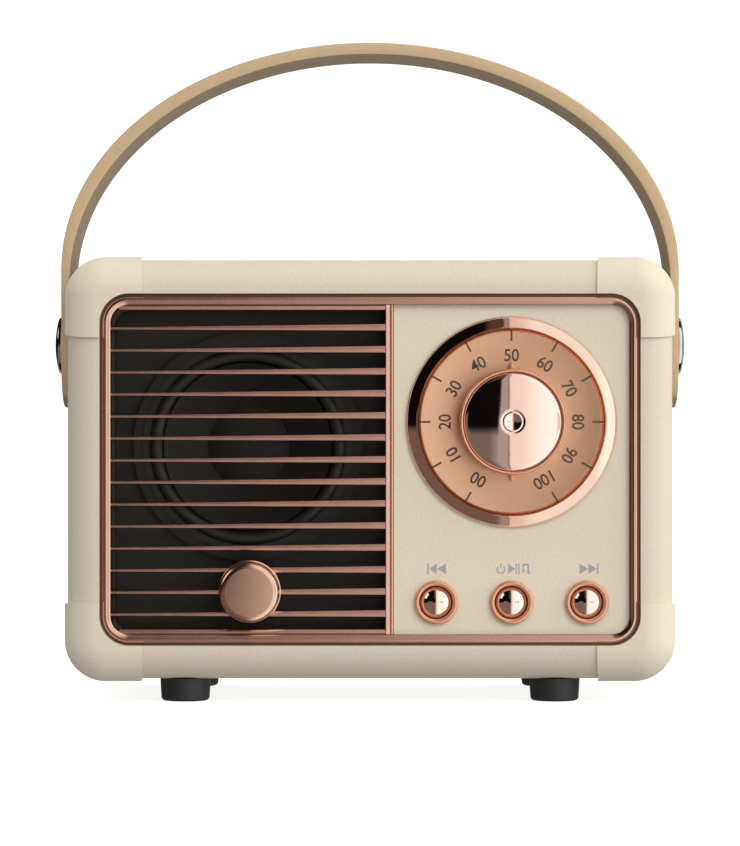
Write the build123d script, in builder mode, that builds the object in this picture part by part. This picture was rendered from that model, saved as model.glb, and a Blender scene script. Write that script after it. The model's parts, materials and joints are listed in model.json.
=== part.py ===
from build123d import *
import os
from math import radians, tan

# Tabletop radio: a cream moulded case with a copper trim, a barred speaker bay, a tuning dial,
# three push buttons, a volume knob, rubber feet and a stiff leather strap handle.
# Millimetres. +X is right, the front faces -Y, +Z is up. The origin is midway across the case
# and midway through its depth, in the plane that the feet stand on.

# Case
CASE_W = 110.6
CASE_H = 76.5
CASE_D = 53.0
FOOT_H = 4.2
CORNER_R = 7.0
EDGE_R = 5.8
WALL = 2.4
FRONT_WALL = 5.5
REAR_WALL = 3.4
SEAM_Y = 9.0
LIP_T = 1.0
LIP_L = 2.4
GAP = 0.05

# Corner guards, seated in shallow recesses at the eight corners
GUARD_PROUD = 0.55
GUARD_SEAT = 0.7
GUARD_X = 41.0
GUARD_Z = 66.3
GUARD_END_Y = 10.2
GUARD_TAPER = 6.0

# Trim frame and the layers behind it
TRIM_W = 98.1
TRIM_H = 63.8
TRIM_R = 5.3
TRIM_BAND = 2.0
TRIM_DEPTH = 1.5
RIDGE_W = 0.7
PANEL_INSET = 1.05
PANEL_T = 2.0
LEDGE_INSET = 1.7

# Speaker bay
BAY_LEFT_X = -46.6
BAY_RIGHT_X = 2.83
BAY_BOTTOM_Z = 13.0
BAY_TOP_Z = 71.5
DIVIDER_X = 4.22
BAR_COUNT = 14
BAR_PITCH = 4.0
BAR_TOP_Z = 68.3
BAR_H = 1.45
BAR_D = 1.8
BAFFLE_T = 1.6
SPEAKER_X = -22.3
SPEAKER_Z = 46.6
SPEAKER_R = 20.9
BAFFLE_SCREWS = ((-49.8, 9.9), (-49.8, 74.9), (1.5, 9.9), (1.5, 74.9))
PILOT_R = 0.9
CONE_R = 15.3
COIL_R = 6.7

# Controls
VOLUME_X = -21.85
VOLUME_Z = 20.3
VOLUME_R = 5.5
DIAL_X = 25.7
DIAL_Z = 51.1
DIAL_R = 19.15
PLATE_R = 17.6
BUSH_R = 3.0
KNOB_R = 9.6
BUTTON_Z = 18.3
BUTTON_R = 2.9
BUTTON_RING_R = 4.0
RING_BORE_R = 3.5
POT_SHAFT_R = 1.5
BUTTON_PITCH = 13.7
BUTTON_TRAVEL = 0.5

# Strap handle
PIVOT_Z = 65.5
STRAP_W = 17.0
STRAP_IN_X = 56.05
STRAP_OUT_X = 57.65
STRAP_SPRING_Z = 79.6
STRAP_TOP_Z = 121.9
STRAP_CROWN_T = 2.2
STRAP_IN_SPRING_Z = 77.2
STRAP_TAIL = 3.2
SHANK_R = 2.0
STUD_R = 5.3
STUD_FACE_X = 59.4

# Inside the case
BOARD_POSTS = ((9.0, 26.0), (42.4, 26.0), (9.0, 69.0), (42.4, 69.0))
MAIN_POSTS = ((-27.0, 36.0), (37.0, 36.0), (-27.0, 63.0), (37.0, 63.0))
USB_X = 30.0
USB_Z = 36.0
CELL_X = -38.0
CELL_Y = 12.0
CELL_Z = 20.2
CELL_R = 9.2
CELL_L = 65.0
HOLDER_WALL = 1.6
ROD_Y = 15.0
ROD_Z = 72.0
ROD_R = 4.0
ROD_L = 62.0
COIL_L = 18.0

# Feet and fasteners
FOOT_X = 33.9
FOOT_Y = 18.0
FOOT_R = 4.65
FOOT_TIP_R = 4.4
SCREW_X = 44.0
SCREW_DZ = 28.6
SCREW_R = 1.1

# Worked out from the above
MID_Z = FOOT_H + CASE_H / 2
TRIM_Z = MID_Z
FRONT_Y = -CASE_D / 2
REAR_Y = CASE_D / 2
SIDE_X = CASE_W / 2
CAVITY_X = SIDE_X - WALL
FLOOR_Z = FOOT_H + WALL
PANEL_Y = FRONT_Y + TRIM_DEPTH
PANEL_BACK_Y = PANEL_Y + PANEL_T
BAFFLE_Y = FRONT_Y + FRONT_WALL
BAFFLE_BACK_Y = BAFFLE_Y + BAFFLE_T
REAR_IN_Y = REAR_Y - REAR_WALL
REAR_FACE_Y = REAR_Y - 1.0
BOARD_Y = -14.6
BOARD_T = 1.6
MAIN_BOARD_Y = 17.0
SIDES = (("left", -1), ("right", 1))
LEVELS = (("bottom", -1), ("top", 1))
BUTTONS = (("previous", -1), ("power", 0), ("next", 1))

os.makedirs("parts", exist_ok=True)


def save(name, piece):
    """Label a finished sub-part and write its STEP file."""
    piece.label = name
    export_step(piece, f"parts/{name}.step")


def facing(y):
    """Sketch plane at depth y, drawn as seen from the front."""
    return Plane.XZ.offset(-y)


def side_plane(x):
    """Sketch plane at x, drawn as seen from the right, with its own x along +Y."""
    return Plane.YZ.offset(x)


def spun(x, z, points):
    """A body turned about the Y direction at x, z from (radius, y) points."""
    axis_plane = Plane(origin=(x, 0, z), x_dir=(1, 0, 0), z_dir=(0, 0, 1))
    with BuildPart() as body:
        with BuildSketch(axis_plane):
            with BuildLine():
                Polyline(*points, close=True)
            make_face()
        revolve(axis=Axis((x, 0, z), (0, 1, 0)))
    return body.part


def trim_outline(inset):
    """The trim's rounded rectangle, moved inwards by inset; for use inside a front-facing sketch."""
    with Locations((0, TRIM_Z)):
        RectangleRounded(TRIM_W - 2 * inset, TRIM_H - 2 * inset, TRIM_R - inset)


def case_block(grow):
    """The whole case as a solid, its outside moved outwards by grow."""
    with BuildPart() as block:
        with BuildSketch(facing(REAR_Y + grow)):
            with Locations((0, MID_Z)):
                RectangleRounded(CASE_W + 2 * grow, CASE_H + 2 * grow, CORNER_R + grow)
        extrude(amount=CASE_D + 2 * grow)
        fillet(block.faces().sort_by(Axis.Y)[0].edges(), EDGE_R + grow)
        fillet(block.faces().sort_by(Axis.Y)[-1].edges(), EDGE_R + grow)
    return block.part


def guard_zone(grow):
    """The block of space at the front right top corner that a guard covers, tapering rearwards."""
    reach = 20.0
    front = REAR_Y + 2.0
    with BuildPart() as zone:
        with BuildSketch(facing(-front)) as outline:
            with Locations((GUARD_X - grow, GUARD_Z - grow)):
                Rectangle(reach, reach, align=(Align.MIN, Align.MIN))
        extrude(to_extrude=outline.sketch, amount=-(front - GUARD_END_Y + grow), taper=GUARD_TAPER)
    return zone.part


def four_ways(piece):
    """Copies of a right top piece at the four corners seen from the front."""
    right = [piece, piece.mirror(Plane.XY.offset(MID_Z))]
    return right + [each.mirror(Plane.YZ) for each in right]


def screw(head_r, head_l, shank_r, shank_l):
    """A pan head screw: its head's underside at the origin, its shank running along -Z."""
    with BuildPart() as piece:
        Cylinder(head_r, head_l, align=(Align.CENTER, Align.CENTER, Align.MIN))
        fillet(piece.edges().sort_by(Axis.Z)[-1], head_l / 2)
        Cylinder(shank_r, shank_l, align=(Align.CENTER, Align.CENTER, Align.MAX))
        with BuildSketch(Plane.XY.offset(head_l)):
            Rectangle(head_r * 1.2, head_r / 4)
            Rectangle(head_r / 4, head_r * 1.2)
        extrude(amount=-head_l / 2, mode=Mode.SUBTRACT)
    return piece.part


def hex_nut(across, bore_r, thickness):
    """A nut on the XY plane, growing along +Z."""
    with BuildPart() as nut:
        with BuildSketch():
            RegularPolygon(across / 2, 6, major_radius=False)
            Circle(bore_r, mode=Mode.SUBTRACT)
        extrude(amount=thickness)
    return nut.part


# Case: the front shell is a deep tub with a stepped window, the rear shell a lid with a lip
guard_skin = case_block(GUARD_PROUD + 1.0) - case_block(-GUARD_SEAT)
front_seats = [seat & guard_skin for seat in four_ways(guard_zone(GAP))]
rear_seats = [seat.mirror(Plane.XZ) for seat in front_seats]

with BuildPart() as front_shell:
    add(case_block(0))
    split(bisect_by=facing(SEAM_Y), keep=Keep.TOP)
    with BuildSketch(facing(SEAM_Y)):
        with Locations((0, MID_Z)):
            RectangleRounded(CASE_W - 2 * WALL, CASE_H - 2 * WALL, CORNER_R - WALL)
    extrude(amount=SEAM_Y - BAFFLE_Y, mode=Mode.SUBTRACT)
    with BuildSketch(facing(BAFFLE_Y)):
        trim_outline(LEDGE_INSET)
    extrude(amount=FRONT_WALL, mode=Mode.SUBTRACT)
    with BuildSketch(facing(PANEL_BACK_Y)):
        trim_outline(PANEL_INSET - GAP)
    extrude(amount=FRONT_WALL, mode=Mode.SUBTRACT)
    with BuildSketch(facing(PANEL_Y)):
        trim_outline(-GAP)
    extrude(amount=FRONT_WALL, mode=Mode.SUBTRACT)
    # screw bosses for the rear shell, each tied to its side wall by a rib
    for _, side in SIDES:
        for _, level in LEVELS:
            with BuildSketch(facing(6.0)):
                with Locations((side * SCREW_X, TRIM_Z + level * SCREW_DZ)):
                    Circle(3.2)
                with Locations((side * (SCREW_X + CAVITY_X + 0.5) / 2, TRIM_Z + level * SCREW_DZ)):
                    Rectangle(CAVITY_X + 0.5 - SCREW_X, 1.6)
            extrude(amount=18.0)
            with BuildSketch(facing(6.0)):
                with Locations((side * SCREW_X, TRIM_Z + level * SCREW_DZ)):
                    Circle(SCREW_R + GAP)
            extrude(amount=10.0, mode=Mode.SUBTRACT)
    # pads over the front feet, and pilot holes for the feet and the baffle
    with BuildSketch(Plane.XY.offset(FLOOR_Z)):
        with Locations((-FOOT_X, -FOOT_Y), (FOOT_X, -FOOT_Y)):
            Circle(2.6)
    extrude(amount=1.2)
    with BuildSketch(Plane.XY.offset(FOOT_H)):
        with Locations((-FOOT_X, -FOOT_Y), (FOOT_X, -FOOT_Y)):
            Circle(SCREW_R + GAP)
    extrude(amount=WALL + 1.0, mode=Mode.SUBTRACT)
    with BuildSketch(facing(BAFFLE_Y)):
        with Locations(*BAFFLE_SCREWS):
            Circle(PILOT_R + GAP)
    extrude(amount=2.9, mode=Mode.SUBTRACT)
    # holes for the strap's studs
    with BuildSketch(side_plane(-SIDE_X)):
        with Locations((0, PIVOT_Z)):
            Circle(SHANK_R + GAP)
    extrude(amount=CASE_W, mode=Mode.SUBTRACT)
    for seat in front_seats:
        add(seat, mode=Mode.SUBTRACT)
save("front_shell", front_shell.part)

with BuildPart() as rear_shell:
    add(case_block(0))
    split(bisect_by=facing(SEAM_Y), keep=Keep.BOTTOM)
    with BuildSketch(facing(REAR_IN_Y)):
        with Locations((0, MID_Z)):
            RectangleRounded(CASE_W - 2 * WALL, CASE_H - 2 * WALL, CORNER_R - WALL)
    extrude(amount=CASE_D, mode=Mode.SUBTRACT)
    with BuildSketch(facing(SEAM_Y + LIP_L)):
        with Locations((0, MID_Z)):
            RectangleRounded(CASE_W - 2 * WALL, CASE_H - 2 * WALL, CORNER_R - WALL)
            inner = 2 * (WALL + LIP_T)
            RectangleRounded(CASE_W - inner, CASE_H - inner, CORNER_R - inner / 2, mode=Mode.SUBTRACT)
    extrude(amount=LIP_L)
    with BuildSketch(facing(SEAM_Y)):
        with Locations((0, MID_Z)):
            outer = 2 * (WALL + 2 * GAP)
            RectangleRounded(CASE_W - outer, CASE_H - outer, CORNER_R - outer / 2)
            inner = 2 * (WALL + LIP_T)
            RectangleRounded(CASE_W - inner, CASE_H - inner, CORNER_R - inner / 2, mode=Mode.SUBTRACT)
    extrude(amount=LIP_L)
    # the shallow field on the back, its vent slots and its charging slot
    with BuildSketch(facing(REAR_Y)):
        trim_outline(-GAP)
    extrude(amount=REAR_Y - REAR_FACE_Y, mode=Mode.SUBTRACT)
    with BuildSketch(facing(REAR_Y)):
        with Locations((SPEAKER_X, SPEAKER_Z)):
            with GridLocations(5.0, 1.0, 7, 1):
                SlotOverall(20.0, 2.2, rotation=90)
        with Locations((USB_X, USB_Z)):
            SlotOverall(9.6, 3.7)
    extrude(amount=REAR_WALL + 1.0, mode=Mode.SUBTRACT)
    # screw posts
    for _, side in SIDES:
        for _, level in LEVELS:
            with BuildSketch(facing(REAR_IN_Y + GAP)):
                with Locations((side * SCREW_X, TRIM_Z + level * SCREW_DZ)):
                    Circle(3.4)
            extrude(amount=REAR_IN_Y - 6.0)
            with BuildSketch(facing(REAR_Y)):
                with Locations((side * SCREW_X, TRIM_Z + level * SCREW_DZ)):
                    Circle(SCREW_R + GAP)
            extrude(amount=CASE_D / 2, mode=Mode.SUBTRACT)
            with BuildSketch(facing(REAR_Y)):
                with Locations((side * SCREW_X, TRIM_Z + level * SCREW_DZ)):
                    Circle(2.4)
            extrude(amount=3.5, mode=Mode.SUBTRACT)
    # main board posts with stake pins, pads over the rear feet, and clips for the antenna rod
    with BuildSketch(facing(REAR_IN_Y + GAP)):
        with Locations(*MAIN_POSTS):
            Circle(2.4)
    extrude(amount=REAR_IN_Y - MAIN_BOARD_Y - BOARD_T)
    with BuildSketch(facing(REAR_IN_Y)):
        with Locations(*MAIN_POSTS):
            Circle(1.0)
    extrude(amount=REAR_IN_Y - MAIN_BOARD_Y + 1.0)
    with BuildSketch(Plane.XY.offset(FLOOR_Z)):
        with Locations((-FOOT_X, FOOT_Y), (FOOT_X, FOOT_Y)):
            Circle(2.6)
    extrude(amount=1.2)
    with BuildSketch(Plane.XY.offset(FOOT_H)):
        with Locations((-FOOT_X, FOOT_Y), (FOOT_X, FOOT_Y)):
            Circle(SCREW_R + GAP)
    extrude(amount=WALL + 1.0, mode=Mode.SUBTRACT)
    with BuildSketch(Plane.XY.offset(FOOT_H + CASE_H - WALL / 2)):
        with Locations((-26.0, 15.0), (26.0, 15.0)):
            Rectangle(3.0, 11.0)
    extrude(amount=-12.0)
    with BuildSketch(side_plane(-ROD_L / 2 - 1.0)):
        with Locations((ROD_Y, ROD_Z)):
            Circle(ROD_R + GAP)
    extrude(amount=ROD_L + 2.0, mode=Mode.SUBTRACT)
    for seat in rear_seats:
        add(seat, mode=Mode.SUBTRACT)
save("rear_shell", rear_shell.part)

# Corner guards: one moulding, mirrored to the eight corners
with BuildPart() as guard:
    add(case_block(GUARD_PROUD))
    add(guard_zone(0), mode=Mode.INTERSECT)
    add(case_block(GAP - GUARD_SEAT), mode=Mode.SUBTRACT)
    with BuildSketch(facing(0)):
        trim_outline(-GAP)
    extrude(amount=CASE_D, mode=Mode.SUBTRACT)
corners = [(side, level) for side in ("right", "left") for level in ("top", "bottom")]
for (side, level), piece in zip(corners, four_ways(guard.part)):
    save(f"corner_guard_front_{side}_{level}", piece)
    save(f"corner_guard_rear_{side}_{level}", piece.mirror(Plane.XZ))

# Trim frame: a flat band with a bevelled outer ridge and a rounded inner ridge
with BuildPart() as trim_bezel:
    with BuildSketch(facing(PANEL_Y)):
        trim_outline(0)
        with Locations((0, TRIM_Z)):
            opening_w = TRIM_W - 2 * TRIM_BAND
            opening_h = TRIM_H - 2 * TRIM_BAND
            RectangleRounded(opening_w, opening_h, TRIM_R - TRIM_BAND, mode=Mode.SUBTRACT)
    extrude(amount=0.6)
    for outer_inset, height in ((0, 1.2), (TRIM_BAND - RIDGE_W, 1.1)):
        with BuildSketch(facing(PANEL_Y)):
            trim_outline(outer_inset)
            with Locations((0, TRIM_Z)):
                inset = outer_inset + RIDGE_W
                RectangleRounded(TRIM_W - 2 * inset, TRIM_H - 2 * inset, TRIM_R - inset,
                                 mode=Mode.SUBTRACT)
        extrude(amount=height)
    chamfer(trim_bezel.edges().group_by(Axis.Y)[0], 0.25)
save("trim_bezel", trim_bezel.part)

# Speaker grille: a frame, fourteen bars, a ridge beside the control panel, a boss for the knob
with BuildPart() as speaker_grille:
    with BuildSketch(facing(PANEL_BACK_Y)):
        trim_outline(PANEL_INSET)
        with Locations((DIVIDER_X, TRIM_Z)):
            Rectangle(TRIM_W, TRIM_H, align=(Align.MIN, Align.CENTER), mode=Mode.SUBTRACT)
        with Locations(((BAY_LEFT_X + BAY_RIGHT_X) / 2, (BAY_BOTTOM_Z + BAY_TOP_Z) / 2)):
            Rectangle(BAY_RIGHT_X - BAY_LEFT_X, BAY_TOP_Z - BAY_BOTTOM_Z, mode=Mode.SUBTRACT)
    extrude(amount=PANEL_T)
    with BuildSketch(side_plane(BAY_LEFT_X - 0.3)):
        with Locations((PANEL_Y + 0.3, BAR_TOP_Z - BAR_PITCH * (BAR_COUNT - 1) / 2)):
            with GridLocations(1.0, BAR_PITCH, 1, BAR_COUNT):
                RectangleRounded(BAR_D, BAR_H, 0.6)
    extrude(amount=BAY_RIGHT_X - BAY_LEFT_X + 0.8)
    with BuildSketch(Plane.XY.offset(BAY_BOTTOM_Z - 0.4)):
        with BuildLine():
            ridge_x = BAY_RIGHT_X + 0.65
            Polyline((BAY_RIGHT_X, PANEL_Y + 0.5), (BAY_RIGHT_X, PANEL_Y - 0.2),
                     (ridge_x, PANEL_Y - 0.9), (DIVIDER_X, PANEL_Y - 0.2),
                     (DIVIDER_X, PANEL_Y + 0.5), close=True)
        make_face()
    extrude(amount=BAY_TOP_Z - BAY_BOTTOM_Z + 0.8)
    with BuildSketch(facing(PANEL_Y + 1.2)):
        with Locations((VOLUME_X, VOLUME_Z)):
            Circle(VOLUME_R + 0.3)
    extrude(amount=1.9)
    with BuildSketch(facing(BAFFLE_Y)):
        with Locations((VOLUME_X, VOLUME_Z)):
            Circle(2.2)
    extrude(amount=FRONT_WALL, mode=Mode.SUBTRACT)
save("speaker_grille", speaker_grille.part)

# Control panel: a plate beside the grille, with posts on its back for the control board
with BuildPart() as control_panel:
    with BuildSketch(facing(PANEL_BACK_Y)):
        trim_outline(PANEL_INSET)
        with Locations((DIVIDER_X + 2 * GAP, TRIM_Z)):
            Rectangle(TRIM_W, TRIM_H, align=(Align.MAX, Align.CENTER), mode=Mode.SUBTRACT)
        with Locations((DIAL_X, DIAL_Z)):
            Circle(BUSH_R + GAP, mode=Mode.SUBTRACT)
        for _, step in BUTTONS:
            with Locations((DIAL_X + step * BUTTON_PITCH, BUTTON_Z)):
                Circle(RING_BORE_R + GAP, mode=Mode.SUBTRACT)
    extrude(amount=PANEL_T)
    with BuildSketch(facing(PANEL_BACK_Y)):
        with Locations(*BOARD_POSTS):
            Circle(2.2)
    extrude(amount=PANEL_BACK_Y - BOARD_Y)
    with BuildSketch(facing(PANEL_BACK_Y)):
        with Locations(*BOARD_POSTS):
            Circle(1.0)
    extrude(amount=PANEL_BACK_Y - BOARD_Y - BOARD_T - 0.8)
save("control_panel", control_panel.part)

# Baffle: the black plate behind the bars that carries the speaker and the volume control
with BuildPart() as baffle:
    with BuildSketch(facing(BAFFLE_BACK_Y)):
        with Locations((-51.5, 8.2)):
            Rectangle(57.0, 68.3, align=(Align.MIN, Align.MIN))
        with Locations((SPEAKER_X, SPEAKER_Z)):
            Circle(18.7, mode=Mode.SUBTRACT)
        with Locations((VOLUME_X, VOLUME_Z)):
            Circle(BUSH_R + GAP, mode=Mode.SUBTRACT)
        with Locations(*BAFFLE_SCREWS):
            Circle(PILOT_R + GAP, mode=Mode.SUBTRACT)
    extrude(amount=BAFFLE_T)
    fillet(baffle.edges().filter_by(Axis.Y).sort_by(Axis.X)[:2], 3.0)
save("baffle", baffle.part)

with BuildPart() as baffle_screws:
    for x, z in BAFFLE_SCREWS:
        with Locations(Plane(origin=(x, BAFFLE_BACK_Y, z), x_dir=(1, 0, 0), z_dir=(0, 1, 0))):
            add(screw(1.5, 1.0, PILOT_R, 4.2))
save("baffle_screws", baffle_screws.part)

# Speaker: basket, gasket, surround, spider and magnet stay still; cone, cap and coil travel
save("speaker_basket", spun(SPEAKER_X, SPEAKER_Z, [
    (17.6, -22.3), (SPEAKER_R, -22.3), (SPEAKER_R, -21.3), (18.4, -21.3), (18.4, -18.8),
    (14.6, -12.6), (14.6, -8.2), (7.6, -8.2), (7.6, -9.0), (13.8, -9.0), (13.8, -11.6),
    (12.6, -11.6), (12.6, -12.0), (13.9, -12.0), (17.6, -18.9)]))
save("speaker_gasket", spun(SPEAKER_X, SPEAKER_Z, [
    (18.8, BAFFLE_Y - 0.3), (SPEAKER_R, BAFFLE_Y - 0.3), (SPEAKER_R, BAFFLE_Y),
    (18.8, BAFFLE_Y)]))
save("speaker_magnet", spun(SPEAKER_X, SPEAKER_Z, [
    (0, -8.6), (5.9, -8.6), (5.9, -0.5), (7.2, -0.5), (7.2, -8.2), (13.0, -8.2), (13.0, 1.5),
    (0, 1.5)]))
save("speaker_spider", spun(SPEAKER_X, SPEAKER_Z, [
    (COIL_R + 0.2, -12.3), (8.0, -12.8), (9.2, -12.2), (10.4, -12.8), (11.6, -12.3),
    (13.4, -12.3), (13.4, -12.0), (11.5, -12.0), (10.4, -12.5), (9.2, -11.9), (8.0, -12.5),
    (COIL_R + 0.2, -12.0)]))
save("speaker_cone", spun(SPEAKER_X, SPEAKER_Z, [
    (COIL_R + 0.02, -16.3), (CONE_R, -22.7), (CONE_R, -22.2), (COIL_R + 0.02, -15.8)]))
save("voice_coil", spun(SPEAKER_X, SPEAKER_Z, [
    (COIL_R - 0.4, -16.6), (COIL_R, -16.6), (COIL_R, -3.5), (COIL_R - 0.4, -3.5)]))

speaker_plane = Plane(origin=(SPEAKER_X, 0, SPEAKER_Z), x_dir=(1, 0, 0), z_dir=(0, 0, 1))
speaker_axis = Axis((SPEAKER_X, 0, SPEAKER_Z), (0, 1, 0))
with BuildPart() as speaker_surround:
    with BuildSketch(speaker_plane):
        with BuildLine():
            roll_out = CenterArc((CONE_R + 1.4, -22.3), 1.25, 180, 180)
            roll_in = CenterArc((CONE_R + 1.4, -22.3), 0.95, 180, 180)
            Line(roll_out @ 0, roll_in @ 0)
            Line(roll_out @ 1, roll_in @ 1)
        make_face()
        with Locations((CONE_R + 3.1, -22.45)):
            Rectangle(1.5, 0.3)
    revolve(axis=speaker_axis)
save("speaker_surround", speaker_surround.part)

with BuildPart() as dust_cap:
    with BuildSketch(speaker_plane):
        with BuildLine():
            front_arc = ThreePointArc((0, -19.0), (3.9, -18.5), (7.5, -17.0))
            back_arc = ThreePointArc((0, -18.7), (3.8, -18.2), (7.2, -16.9))
            Line(front_arc @ 0, back_arc @ 0)
            Line(front_arc @ 1, back_arc @ 1)
        make_face()
    revolve(axis=speaker_axis)
save("dust_cap", dust_cap.part)

# Volume control: pot behind the baffle, its nut in front, shaft and knob turning together
with BuildPart() as volume_pot:
    with BuildSketch(facing(BAFFLE_BACK_Y + 7.0)):
        with Locations((VOLUME_X, VOLUME_Z - 0.5)):
            Rectangle(11.0, 11.0)
    extrude(amount=7.0)
    fillet(volume_pot.edges().filter_by(Axis.Y), 0.6)
    with BuildSketch(facing(BAFFLE_BACK_Y)):
        with Locations((VOLUME_X, VOLUME_Z)):
            Circle(BUSH_R)
    extrude(amount=BAFFLE_T + 2.2)
    with BuildSketch(facing(BAFFLE_BACK_Y + 3.0)):
        with Locations((VOLUME_X, VOLUME_Z)):
            Circle(POT_SHAFT_R + GAP)
    extrude(amount=10.0, mode=Mode.SUBTRACT)
save("volume_pot", volume_pot.part)

with BuildPart() as volume_shaft:
    with BuildSketch(facing(BAFFLE_BACK_Y + 2.6)):
        with Locations((VOLUME_X, VOLUME_Z)):
            Circle(POT_SHAFT_R)
    extrude(amount=12.0)
save("volume_shaft", volume_shaft.part)

VOLUME_BACK_Y = PANEL_Y - 1.0
VOLUME_FACE_Y = VOLUME_BACK_Y - 4.0
with BuildPart() as volume_knob:
    with BuildSketch(facing(VOLUME_BACK_Y)):
        with Locations((VOLUME_X, VOLUME_Z)):
            Circle(VOLUME_R)
    extrude(amount=VOLUME_BACK_Y - VOLUME_FACE_Y)
    fillet(volume_knob.edges().group_by(Axis.Y)[0], 1.0)
    with BuildSketch(facing(VOLUME_FACE_Y)):
        with Locations((VOLUME_X, VOLUME_Z)):
            Circle(VOLUME_R - 1.1)
    extrude(amount=-0.15, mode=Mode.SUBTRACT)
    with BuildSketch(facing(VOLUME_BACK_Y)):
        with Locations((VOLUME_X, VOLUME_Z)):
            Circle(POT_SHAFT_R + GAP)
    extrude(amount=3.0, mode=Mode.SUBTRACT)
save("volume_knob", volume_knob.part)

# Tuning dial: printed plate, polished ring, and the tuner with its shaft, nut and knob
PLATE_Y = PANEL_Y - 0.6
save("dial_plate", spun(DIAL_X, DIAL_Z, [
    (BUSH_R + GAP, PLATE_Y), (PLATE_R, PLATE_Y), (PLATE_R, PANEL_Y), (BUSH_R + GAP, PANEL_Y)]))
save("dial_ring", spun(DIAL_X, DIAL_Z, [
    (PLATE_R + GAP, PANEL_Y), (DIAL_R, PANEL_Y), (DIAL_R, PANEL_Y - 0.5),
    (DIAL_R - 0.2, PANEL_Y - 0.7), (DIAL_R - 0.4, PANEL_Y - 0.7),
    (PLATE_R - 0.2, PLATE_Y - 0.8), (PLATE_R - 0.4, PLATE_Y - 0.8),
    (PLATE_R - 1.1, PLATE_Y - GAP), (PLATE_R + GAP, PLATE_Y - GAP)]))

with BuildPart() as tuner_body:
    with BuildSketch(facing(BOARD_Y)):
        with Locations((DIAL_X, DIAL_Z)):
            Rectangle(16.0, 16.0)
    extrude(amount=6.6)
    fillet(tuner_body.edges().filter_by(Axis.Y), 1.0)
    with BuildSketch(facing(BOARD_Y - 6.6)):
        with Locations((DIAL_X, DIAL_Z)):
            Circle(BUSH_R)
    extrude(amount=7.0)
    with BuildSketch(facing(BOARD_Y - 1.6)):
        with Locations((DIAL_X, DIAL_Z)):
            Circle(SHANK_R + GAP)
    extrude(amount=20.0, mode=Mode.SUBTRACT)
save("tuner_body", tuner_body.part)

with BuildPart() as bush_nuts:
    for x, y, z in ((DIAL_X, PLATE_Y, DIAL_Z), (VOLUME_X, BAFFLE_Y, VOLUME_Z)):
        with Locations(Plane(origin=(x, y, z), z_dir=(0, -1, 0))):
            add(hex_nut(8.0, BUSH_R + GAP, 1.6))
save("bush_nuts", bush_nuts.part)

with BuildPart() as tuning_shaft:
    with BuildSketch(facing(BOARD_Y - 2.0)):
        with Locations((DIAL_X, DIAL_Z)):
            Circle(SHANK_R)
    extrude(amount=13.4)
save("tuning_shaft", tuning_shaft.part)

KNOB_BACK_Y = PLATE_Y - 0.6
KNOB_FACE_Y = KNOB_BACK_Y - 5.6
with BuildPart() as tuning_knob:
    with BuildSketch(facing(KNOB_BACK_Y)):
        with Locations((DIAL_X, DIAL_Z)):
            Circle(KNOB_R)
    extrude(amount=KNOB_BACK_Y - KNOB_FACE_Y)
    fillet(tuning_knob.edges().group_by(Axis.Y)[0], 0.35)
    with BuildSketch(facing(KNOB_FACE_Y)):
        with Locations((DIAL_X, DIAL_Z)):
            Circle(KNOB_R - 0.7)
    extrude(amount=-1.2, mode=Mode.SUBTRACT)
    with BuildSketch(facing(KNOB_BACK_Y)):
        with Locations((DIAL_X, DIAL_Z)):
            Circle(6.6)
    extrude(amount=2.4, mode=Mode.SUBTRACT)
    with BuildSketch(facing(KNOB_BACK_Y)):
        with Locations((DIAL_X, DIAL_Z)):
            Circle(SHANK_R + GAP)
    extrude(amount=4.0, mode=Mode.SUBTRACT)
    # the two pointers, above and below
    with BuildSketch(facing(KNOB_BACK_Y)):
        for level in (-1, 1):
            with BuildLine():
                Polyline((DIAL_X - 0.9, DIAL_Z + level * (KNOB_R - 0.3)),
                         (DIAL_X + 0.9, DIAL_Z + level * (KNOB_R - 0.3)),
                         (DIAL_X, DIAL_Z + level * (KNOB_R + 1.0)), close=True)
            make_face()
    extrude(amount=0.8)
save("tuning_knob", tuning_knob.part)

# The knob's polished cap: a shallow cone with a turned centre and a line across it
CAP_SEAT_Y = KNOB_FACE_Y + 1.15
with BuildPart() as tuning_cap:
    add(spun(DIAL_X, DIAL_Z, [
        (0, CAP_SEAT_Y), (KNOB_R - 0.75, CAP_SEAT_Y), (KNOB_R - 0.75, KNOB_FACE_Y + 0.25),
        (KNOB_R - 0.95, KNOB_FACE_Y + 0.1), (2.5, KNOB_FACE_Y - 0.35), (2.3, KNOB_FACE_Y - 0.35),
        (2.1, KNOB_FACE_Y), (1.6, KNOB_FACE_Y), (0, KNOB_FACE_Y - 0.5)]))
    with BuildSketch(facing(KNOB_FACE_Y + 0.05)):
        for level in (-1, 1):
            with Locations((DIAL_X, DIAL_Z + level * (KNOB_R + 2.5) / 2)):
                Rectangle(0.25, KNOB_R - 3.6)
    extrude(amount=1.0, mode=Mode.SUBTRACT)
save("tuning_cap", tuning_cap.part)

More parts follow.
